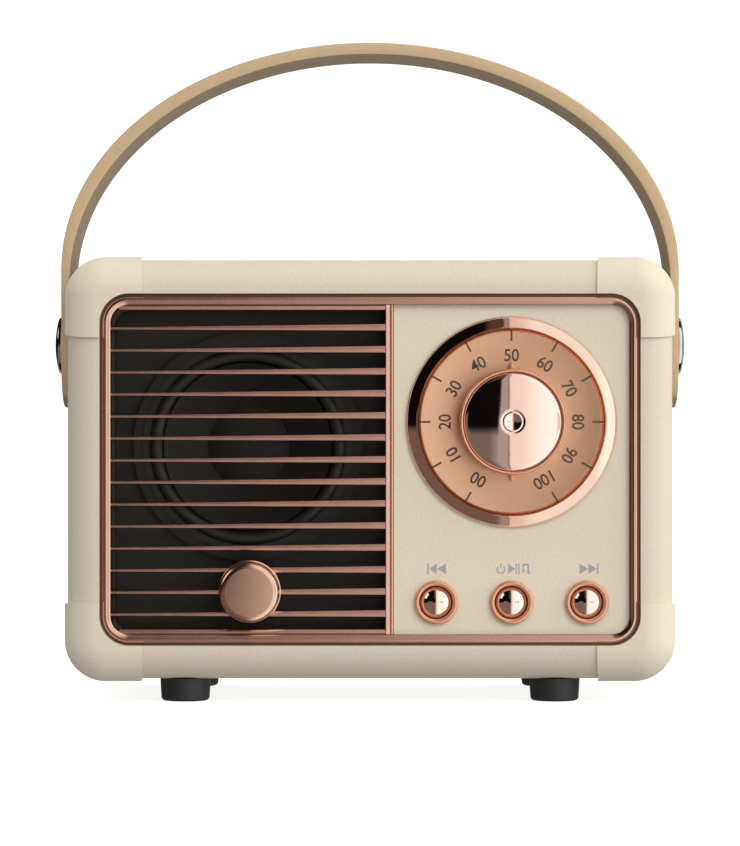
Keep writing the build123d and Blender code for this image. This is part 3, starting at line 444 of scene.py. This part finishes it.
bar_heights = [BAR_H / 2 * sin(pi / 2 * step / 8) for step in range(-8, 9)]
bar_outline = [(z, bar_front(z)) for z in bar_heights]
bar_outline = [(-BAR_H / 2, BAR_BACK)] + bar_outline + [(BAR_H / 2, BAR_BACK)]
SIDEWAYS = Matrix(((0, 1, 0, 0), (0, 0, -1, 0), (1, 0, 0, 0), (0, 0, 0, 1)))


def bar(outline, z, left, right):
    """A bar along X from left to right, whose outline is (height above z, depth forward)."""
    piece = rail(outline, left - right)
    piece.data.transform(Matrix.Translation((left * MM, 0, z * MM)) @ SIDEWAYS)
    return piece


# A bar's left end is drawn out, thinned, lowered and sunk into a point.
POINT_LONG = 0.75
POINT_THIN = 0.3
POINT_DROP = 0.2
POINT_SINK = 0.25
bars = []
for index in range(BARS):
    z = BAR_TOP - BAR_PITCH * index
    piece = bar(bar_outline, z, BAR_LEFT, BAR_RIGHT)
    for vertex in piece.data.vertices:
        if vertex.co.x < (BAR_LEFT + 0.1) * MM:
            vertex.co.x -= POINT_LONG * MM
            vertex.co.z = z * MM + (vertex.co.z - z * MM) * POINT_THIN - POINT_DROP * MM
            vertex.co.y += POINT_SINK * MM
    bars.append(piece)

RAIL_H = 1.1
RAIL_LEFT = -45.6
rail_outline = [(-RAIL_H / 2, BAR_BACK), (-RAIL_H / 2, 25.15), (-RAIL_H / 4, 25.36), (0, 25.42),
                (RAIL_H / 4, 25.36), (RAIL_H / 2, 25.15), (RAIL_H / 2, BAR_BACK)]
for z in (72.05, 12.8):
    bars.append(bar(rail_outline, z, RAIL_LEFT, BAR_RIGHT))

DIVIDER_FOOT = 12.55
DIVIDER_H = 59.8
UPRIGHT = Matrix(((1, 0, 0, 0), (0, 0, -1, 0), (0, -1, 0, DIVIDER_FOOT * MM), (0, 0, 0, 1)))
divider_outline = [(2.83, 25.0), (2.83, 25.95), (2.95, 26.0), (3.58, 25.84), (3.64, 25.74),
                   (3.74, 25.82), (3.92, 25.93), (4.12, 25.87), (4.22, 25.7), (4.22, 25.0)]
divider = rail(divider_outline, DIVIDER_H)
divider.data.transform(UPRIGHT)
bars.append(divider)
grille = joined(bars)
bpy.ops.object.mode_set(mode="EDIT")
bpy.ops.mesh.select_all(action="SELECT")
bpy.ops.mesh.normals_make_consistent(inside=False)
bpy.ops.object.mode_set(mode="OBJECT")
bpy.ops.object.shade_smooth_by_angle(angle=radians(SMOOTH))
copper_grille = plated("copper_grille", (0.9, 0.58, 0.46), 0.2, 0.9)
fit(grille, "grille_bars", copper_grille, "copper_grille", "case", "speaker_grille")


# Grille frame: the bars' plate, which lies on the floor of the case's recess and ends at the
# divider. A thin skirt behind its opening hides the edge of the case. Plate and skirt are painted
# near-black: painted shade for the recess behind the bars.
def hooked(left, low, high, radius, inwards=0.0):
    """Half a rounded rectangle, from its lower right end round the left corners to its upper
    right, shrunk inwards by so many millimetres."""
    left, low, high, radius = left + inwards, low + inwards, high - inwards, radius - inwards
    points = [(BAR_RIGHT, low)]
    for start, middle_z in ((270, low + radius), (180, high - radius)):
        for step in range(9):
            turn = radians(start - 90 * step / 8)
            points.append((left + radius + radius * cos(turn), middle_z + radius * sin(turn)))
    return points + [(BAR_RIGHT, high)]


# An edge is (left, low, high, corner radius).
PLATE_EDGE = (-47.9, 11.65, 73.25, 4.2)
OPENING = (-46.6, 13.0, 71.5, 3.0)
RECESS_FLOOR = 23.02
PLATE_T = 1.3
SKIRT_BACK = 21.06
SKIRT_DEEP = 3.1
SKIRT_GAP = 0.03
SKIRT_T = 0.18
face_plate = rail(hooked(*PLATE_EDGE) + hooked(*OPENING)[::-1], PLATE_T)
face_plate.data.transform(Matrix.Translation((0, -RECESS_FLOOR * MM, 0)))
skirt_outside = hooked(*OPENING, SKIRT_GAP)
skirt_inside = hooked(*OPENING, SKIRT_GAP + SKIRT_T)
skirt = rail(skirt_outside + skirt_inside[::-1], SKIRT_DEEP)
skirt.data.transform(Matrix.Translation((0, -SKIRT_BACK * MM, 0)))
grille_frame = joined([face_plate, skirt])
soften(grille_frame, 0.05, 2)
# Near-black copper colour: painted shade in the recess.
recess_painted_shade = plated("recess_painted_shade", (0.045, 0.028, 0.02), 0.5, 0.8, 0.6)
fit(grille_frame, "grille_frame", recess_painted_shade, "copper_grille", "case", "speaker_grille")


# Speaker bay: a black plate, and behind it the driver's steel basket, paper cone and rubber roll.
def plain(name, colour, roughness, metallic=0.0, grain=0.4 * MM, depth=0.004 * MM):
    """A moulded or pressed surface with a fine even grain and a slight mottle."""
    skin = Finish(name)
    fine = skin.noise(grain, 3.0)
    mottle = skin.noise(grain * 14, 2.0)
    darker = [c * 0.8 for c in colour]
    lighter = [min(c * 1.15, 1) for c in colour]
    return skin.close({
        "Base Color": skin.mix(mottle, darker, lighter),
        "Metallic": metallic,
        "Roughness": roughness * 0.8 + fine * roughness * 0.3,
        "Normal": skin.relief(fine, depth)})


BLACK = (0.0135, 0.0105, 0.009)
record_slots = {row["node"]: row["material_slot"] for row in frame["record"]["subparts"]}
inner_finishes = {
    "black_plastic": plain("black_plastic", BLACK, 0.68),
    "pressed_steel": plain("pressed_steel", (0.03, 0.027, 0.025), 0.55, 0.6),
    "steel_fastener": plain("steel_fastener", (0.45, 0.45, 0.47), 0.3, 1.0),
    "ferrite": plain("ferrite", (0.05, 0.05, 0.055), 0.7),
    "cone_paper": plain("cone_paper", (0.014, 0.012, 0.011), 0.75, 0.0, 0.5 * MM, 0.03 * MM),
    "spider_cloth": plain("spider_cloth", (0.5, 0.36, 0.16), 0.8, 0.0, 0.3 * MM, 0.05 * MM),
    "soft_rubber": plain("soft_rubber", (0.0125, 0.0105, 0.0095), 0.6),
    "foot_rubber": plain("foot_rubber", (0.022, 0.022, 0.022), 0.6, 0.0, 0.3 * MM, 0.01 * MM),
    "copper_wire": plain("copper_wire", (0.6, 0.25, 0.12), 0.35, 1.0),
    "circuit_board": plain("circuit_board", (0.01, 0.12, 0.05), 0.35),
    "chip_plastic": plain("chip_plastic", (0.02, 0.02, 0.022), 0.5),
    "wire_jacket": plain("wire_jacket", (0.5, 0.02, 0.02), 0.4),
    "cell_wrap": plain("cell_wrap", (0.05, 0.16, 0.4), 0.3),
}
for name, slot_name in record_slots.items():
    if slot_name in inner_finishes:
        paint(frame["nodes"][name], inner_finishes[slot_name])

# Dial: a satin copper plate printed with a scale of 00 to 100, inside a polished copper bezel
# ring that slopes outwards. The ring is pressed over the plate's edge.
DIAL_X, DIAL_Z = 25.7, 51.1
PLATE_FACE = 25.44


def turned(profile, place, turn=FRONT, steps=128):
    """Spins an outline of (radius, height) in millimetres about the axis through place. Heights
    run towards the front unless turn says otherwise."""
    bpy.ops.object.select_all(action="DESELECT")
    bpy.ops.mesh.primitive_plane_add(size=MM)
    bpy.ops.object.mode_set(mode="EDIT")
    bpy.ops.mesh.merge(type="CENTER")
    bpy.ops.transform.translate(value=(profile[0][0] * MM, 0, profile[0][1] * MM))
    for last, point in zip(profile, profile[1:]):
        step = ((point[0] - last[0]) * MM, 0, (point[1] - last[1]) * MM)
        bpy.ops.mesh.extrude_vertices_move(TRANSFORM_OT_translate={"value": step})
    bpy.ops.mesh.select_all(action="SELECT")
    bpy.ops.mesh.spin(steps=steps, angle=2 * pi, center=(0, 0, 0), axis=(0, 0, 1))
    bpy.ops.mesh.select_all(action="SELECT")
    bpy.ops.mesh.remove_doubles(threshold=1e-6)
    bpy.ops.mesh.normals_make_consistent(inside=False)
    bpy.ops.object.mode_set(mode="OBJECT")
    piece = bpy.context.object
    piece.rotation_euler = turn
    piece.location = [v * MM for v in place]
    bpy.ops.object.transform_apply(location=True, rotation=True, scale=True)
    return piece


def bow(first, last, rise, count=8):
    """Points from first to last on a curve that stands rise proud, on the left of the way."""
    run, climb = last[0] - first[0], last[1] - first[1]
    size = (run * run + climb * climb) ** 0.5
    points = []
    for index in range(count + 1):
        part = index / count
        lift = 4 * part * (1 - part) * rise / size
        points.append((first[0] + part * run - lift * climb, first[1] + part * climb + lift * run))
    return points


POLISHED = (0.86, 0.61, 0.48)
polished = plated("polished_copper", POLISHED, 0.04, 0.96)
satin = plated("dial_copper", (0.96, 0.6, 0.39), 0.36, 0.94)
plate_points = [(3.05, 25.1), (17.5, 25.1), (17.5, 25.5), (16.7, 25.6)]
plate_points += bow((16.6, 25.6), (9.0, 25.32), 0.08, 12) + [(3.05, 25.3), (3.05, 25.1)]
plate = turned(plate_points, (DIAL_X, 0, DIAL_Z))
soften(plate, 0.02, 2)
fit(plate, "dial_dish", satin, "dial_copper", "case", "dial_plate")
ring_points = [(17.62, 25.0), (19.15, 25.0), (19.15, 25.45), (19.07, 25.55), (18.96, 25.57)]
ring_points += bow((18.9, 25.55), (17.12, 26.45), -0.02)
ring_points += [(16.45, 25.64), (17.62, 25.62), (17.62, 25.0)]
bezel = turned(ring_points, (DIAL_X, 0, DIAL_Z))
soften(bezel, 0.02, 2)
fit(bezel, "dial_bezel_ring", polished, "polished_copper", "case", "dial_ring")

# The scale runs clockwise in eleven figures, each with a tick outside it.
ink = plain("scale_ink", (0.105, 0.07, 0.045), 0.6)
INK_T = 0.02
FIGURE_H = 3.1
FIGURE_R = 12.0
FIGURE_NARROW = 0.92
TICK_W, TICK_LONG, TICK_T = 0.34, 2.0, 0.08
TICK_R = 15.7
on_plate = Matrix.Translation((DIAL_X * MM, -(PLATE_FACE + INK_T / 2) * MM, DIAL_Z * MM))
on_plate = on_plate @ Matrix.Rotation(pi / 2, 4, "X")
marks = []
for index in range(11):
    facing = on_plate @ Matrix.Rotation(radians(150 - 30 * index), 4, "Z")
    bpy.ops.object.select_all(action="DESELECT")
    bpy.ops.object.text_add()
    figure = bpy.context.object
    figure.data.body = "00" if index == 0 else str(10 * index)
    figure.data.size = FIGURE_H * MM
    figure.data.align_x = "CENTER"
    figure.data.align_y = "CENTER"
    figure.data.extrude = INK_T * MM / 2
    figure.data.offset = 0.035 * MM
    bpy.ops.object.convert(target="MESH")
    figure = bpy.context.object
    upright = facing @ Matrix.Translation((0, FIGURE_R * MM, 0))
    figure.data.transform(upright @ Matrix.Diagonal((FIGURE_NARROW, 1, 1, 1)))
    figure.matrix_world = Matrix.Identity(4)
    marks.append(figure)
    bpy.ops.object.select_all(action="DESELECT")
    bpy.ops.mesh.primitive_cube_add(size=1)
    tick = bpy.context.object
    outwards = facing @ Matrix.Translation((0, TICK_R * MM, 0.1 * MM))
    tick.data.transform(outwards @ Matrix.Diagonal((TICK_W * MM, TICK_LONG * MM, TICK_T * MM, 1)))
    marks.append(tick)
fit(joined(marks), "dial_scale", ink, "dial_copper", "case")

# Tuning knob: a spun copper cup with a rolled rim and two pointers, closed by a polished,
# slightly domed cap with a turned centre.
rim_copper = plated("knob_rim_copper", (0.93, 0.47, 0.31), 0.25, 0.9, 0.75)
knob_points = [(3.3, 26.25), (9.3, 26.2), (9.6, 26.5), (9.6, 31.3), (9.45, 31.68), (9.25, 31.78),
               (9.05, 31.7), (8.95, 31.4), (8.95, 30.85), (3.3, 30.85), (3.3, 26.25)]
knob = turned(knob_points, (DIAL_X, 0, DIAL_Z))
soften(knob, 0.08)
pointers = []
for level in (-1, 1):
    bpy.ops.object.select_all(action="DESELECT")
    bpy.ops.mesh.primitive_cylinder_add(vertices=3, radius=0.85 * MM, depth=0.9 * MM)
    pointer = bpy.context.object
    pointer.rotation_euler = (pi / 2, 0 if level > 0 else pi, 0)
    pointer.location = (DIAL_X * MM, -26.75 * MM, (DIAL_Z + level * 9.95) * MM)
    bpy.ops.object.transform_apply(location=True, rotation=True, scale=True)
    soften(pointer, 0.07, 2)
    pointers.append(pointer)
fit(joined([knob] + pointers), "tuning_knob_cup", rim_copper, "copper_knob", "tuning", "tuning_knob")

cap_points = [(0, 30.9), (8.86, 30.9), (8.86, 31.28)] + bow((8.8, 31.34), (8.45, 31.6), -0.06, 4)
cap_points += bow((8.35, 31.63), (1.92, 32.12), -0.08, 12)
cap_points += bow((1.86, 32.1), (1.36, 32.1), -0.08, 6) + bow((1.3, 32.06), (0, 31.75), 0.1, 6)
cap = turned(cap_points, (DIAL_X, 0, DIAL_Z))
soften(cap, 0.02, 2)
mirror_copper = plated("mirror_copper", (0.98, 0.8, 0.7), 0.025, 0.98)
fit(cap, "tuning_cap_disc", mirror_copper, "mirror_cap", "tuning", "tuning_cap")

# Push buttons: mirror-polished domes, each in a satin copper ring pressed into the panel, with
# its symbol printed above.
button_copper = plated("button_ring_copper", (0.88, 0.43, 0.27), 0.34, 0.9, 0.6)
BUTTON_Z = 18.3
BUTTON_RING_MID = 3.5
ring_crest = [(BUTTON_RING_MID - 0.47 * cos(t * pi / 12), 25.48 + 0.4 * sin(t * pi / 12))
              for t in range(13)]
ring_outline = [(3.03, 23.0), (3.03, 25.2)] + ring_crest
ring_outline += [(3.97, 25.02), (3.48, 25.02), (3.48, 23.0), (3.03, 23.0)]
for name, x in (("previous", 12.0), ("power", 25.7), ("next", 39.4)):
    ring = turned(ring_outline, (x, 0, BUTTON_Z), steps=96)
    soften(ring, 0.02, 2)
    fit(ring, "button_bezel_" + name, button_copper, "copper_ring", "case", "button_ring_" + name)
    dome_points = [(0, 23.6), (2.88, 23.6), (2.88, 24.95)] + bow((2.84, 25.05), (0, 26.5), -0.4, 16)
    dome = turned(dome_points, (x, 0, BUTTON_Z), steps=72)
    soften(dome, 0.02, 2)
    fit(dome, "button_dome_" + name, mirror_copper, "mirror_cap", name + "_button", "button_" + name)

# The symbols are printed flat on the panel above the buttons.
PANEL_FACE = 25.0
ICON_Z = 24.4
ICON_H = 0.95
symbol_ink = plain("symbol_ink", (0.4, 0.4, 0.43), 0.6)


def mark(outline, x):
    """A flat printed shape on the panel, whose outline is in millimetres from (x, ICON_Z)."""
    piece = rail([(x + px, ICON_Z + pz) for px, pz in outline], INK_T)
    piece.data.transform(Matrix.Translation((0, -PANEL_FACE * MM, 0)))
    return piece


def block(left, right, low=-ICON_H, high=ICON_H):
    """The outline of an upright rectangle."""
    return [(left, low), (right, low), (right, high), (left, high)]


def wedge(tail, point):
    """The outline of a sideways triangle from its tail to its point."""
    return [(tail, -ICON_H), (tail, ICON_H), (point, 0)]


power_ring = [(0.82 * sin(radians(a)), 0.82 * cos(radians(a)) - 0.12) for a in range(40, 321, 20)]
power_ring += [(0.58 * sin(radians(a)), 0.58 * cos(radians(a)) - 0.12) for a in range(320, 39, -20)]
call_sign = [(-0.6, -0.7), (-0.6, 0.9), (0.6, 0.9), (0.6, -0.6), (0.85, -0.6), (0.85, -0.9),
             (0.3, -0.9), (0.3, 0.62), (-0.3, 0.62), (-0.3, -0.7)]
symbols = {
    "previous": [(block(0.0, 0.3), 10.4), (wedge(1.75, 0.35), 10.4), (wedge(3.4, 1.8), 10.4)],
    "power": [(power_ring, 23.8), (block(-0.12, 0.12, 0.1, 0.95), 23.8), (wedge(0.0, 1.3), 25.1),
              (block(0.0, 0.25), 26.45), (block(0.0, 0.25), 26.95), (call_sign, 28.3)],
    "next": [(wedge(0.0, 1.55), 38.1), (wedge(1.6, 3.1), 38.1), (block(3.15, 3.42), 38.1)],
}
for name, shapes in symbols.items():
    fit(joined([mark(*shape) for shape in shapes]), "symbol_" + name, symbol_ink, "panel_cream", "case")

# Volume knob: a satin copper drum with a polished rounded shoulder. It stands over a round boss
# that belongs to the grille.
VOLUME_PLACE = (-21.85, 0, 20.3)
boss_points = [(2.2, 23.9), (5.8, 23.9), (5.8, 25.3), (5.62, 25.6), (5.3, 25.68), (2.2, 25.68),
               (2.2, 23.9)]
boss = turned(boss_points, VOLUME_PLACE, steps=96)
soften(boss, 0.05, 2)
fit(boss, "volume_boss", copper_grille, "copper_grille", "case", "speaker_grille")
volume_face = plated("volume_satin", (0.78, 0.5, 0.38), 0.34)
volume_rim = plated("volume_rim", (0.86, 0.57, 0.44), 0.2)
drum_points = [(0, 26.1), (5.5, 26.1), (5.5, 28.9)] + bow((5.48, 29.05), (4.5, 29.98), -0.24)
drum_points += [(4.35, 30.0), (0, 30.0)]
drum = turned(drum_points, VOLUME_PLACE, steps=96)
soften(drum, 0.02, 2)
fit(drum, "volume_drum", volume_face, "copper_knob", "volume", "volume_knob")
drum.data.materials.append(volume_rim)
for face in drum.data.polygons:
    if face.normal.y > -0.995:
        face.material_index = 1

# Strap handle: a thick band of tan leather with rounded, sealed edges, bent into an arch. Its two
# tails are held to the case by the studs.
STRAP_W = 17.0
SPRING_Z = 79.6
PIVOT_Z = 65.5
ARCH_A, ARCH_B = 57.65, 42.28
LEG_T = 1.6
IN_SPRING_Z, IN_B = 77.2, 42.5
TAIL = 3.2
skin = Finish("strap_leather")
grain = skin.cells(0.6 * MM) * 0.6 + skin.cells(0.3 * MM) * 0.4
blotch = skin.noise(7 * MM, 3.0)
sideways = skin.node("SeparateXYZ", None, {0: skin.node("TexCoord", None, None, out="Normal")}, out=1)
edge = abs(sideways).rise(0.5, 0.8)
# The faces take the colour of the band's shaded inner side, half as light as the edges: the lighter
# sealed edge is real, and the darker faces are partly painted shade.
tan_face_painted_shade = skin.mix(blotch, (0.28, 0.215, 0.145), (0.34, 0.265, 0.185))
tan_face_painted_shade = skin.mix(grain.rise(0.3, 0.8) * 0.35, tan_face_painted_shade, (0.21, 0.155, 0.1))
tan_edge = skin.mix(skin.noise(1.5 * MM, 3.0), (0.56, 0.4, 0.235), (0.63, 0.46, 0.28))
leather = skin.close({
    "Base Color": skin.mix(edge, tan_face_painted_shade, tan_edge),
    "Roughness": 0.55 + grain * 0.12,
    "Specular IOR Level": 0.3,
    "Normal": skin.relief(1.0 - grain, 0.05 * MM)})

bpy.ops.object.select_all(action="DESELECT")
bpy.ops.mesh.primitive_grid_add(x_subdivisions=180, y_subdivisions=12, size=1)
strap = bpy.context.object
bpy.ops.object.mode_set(mode="EDIT")
bpy.ops.mesh.select_all(action="SELECT")
bpy.ops.mesh.extrude_region_move(TRANSFORM_OT_translate={"value": (0, 0, -1)})
bpy.ops.object.mode_set(mode="OBJECT")
LEG = SPRING_Z - PIVOT_Z + TAIL
ARCH = 160.0
ARCH_IN_A = ARCH_A - LEG_T
for vertex in strap.data.vertices:
    u, v, inward = vertex.co.x * 2, vertex.co.y, -vertex.co.z
    width = v * STRAP_W
    tail = max((STRAP_W / 2) ** 2 - width * width, 0.0) ** 0.5
    side = -1 if u < 0 else 1
    along = (ARCH / 2 + LEG + tail) * abs(u)
    if along > ARCH / 2:
        x, z = ARCH_A - inward * LEG_T, SPRING_Z - (along - ARCH / 2)
        if inward > 0.5 and z > IN_SPRING_Z:
            x = ARCH_IN_A * (1 - ((z - IN_SPRING_Z) / IN_B) ** 2) ** 0.5
    else:
        round_arch = pi / 2 * (1 - along / (ARCH / 2))
        x, z = ARCH_A * cos(round_arch), SPRING_Z + ARCH_B * sin(round_arch)
        if inward > 0.5:
            start = atan2(SPRING_Z - IN_SPRING_Z, IN_B)
            inner = start + (pi / 2 - start) * round_arch / (pi / 2)
            x, z = ARCH_IN_A * cos(inner), IN_SPRING_Z + IN_B * sin(inner)
    vertex.co = (side * x * MM, width * MM, z * MM)
bpy.ops.object.mode_set(mode="EDIT")
bpy.ops.mesh.select_all(action="SELECT")
bpy.ops.mesh.remove_doubles(threshold=1e-6)
bpy.ops.mesh.normals_make_consistent(inside=False)
bpy.ops.object.mode_set(mode="OBJECT")
soften(strap, 0.28, 3, sharp=50, smooth=40)
fit(strap, "strap_band", leather, "strap_leather", "handle", "handle_strap")

# Studs: chromed domes whose shanks pass through the strap's tails. The handle turns on them, and
# a washer and a nut hold each one inside the case.
chrome = plated("stud_chrome", (0.68, 0.69, 0.71), 0.08, 0.95)
STUD_R = 5.3
for side_name, side in (("left", -1), ("right", 1)):
    stud_points = [(0, 52.3), (2.0, 52.3), (2.0, 57.68), (5.1, 57.68), (STUD_R, 57.8), (STUD_R, 58.4),
                   (STUD_R - 0.08, 58.58), (STUD_R - 0.25, 58.7)]
    stud_points += bow((STUD_R - 0.4, 58.75), (0, 59.4), -0.14, 12)
    stud = turned(stud_points, (0, 0, PIVOT_Z), (0, side * pi / 2, 0), 72)
    soften(stud, 0.03, 2)
    fit(stud, "stud_dome_" + side_name, chrome, "stud_chrome", "handle", "pivot_stud_" + side_name)
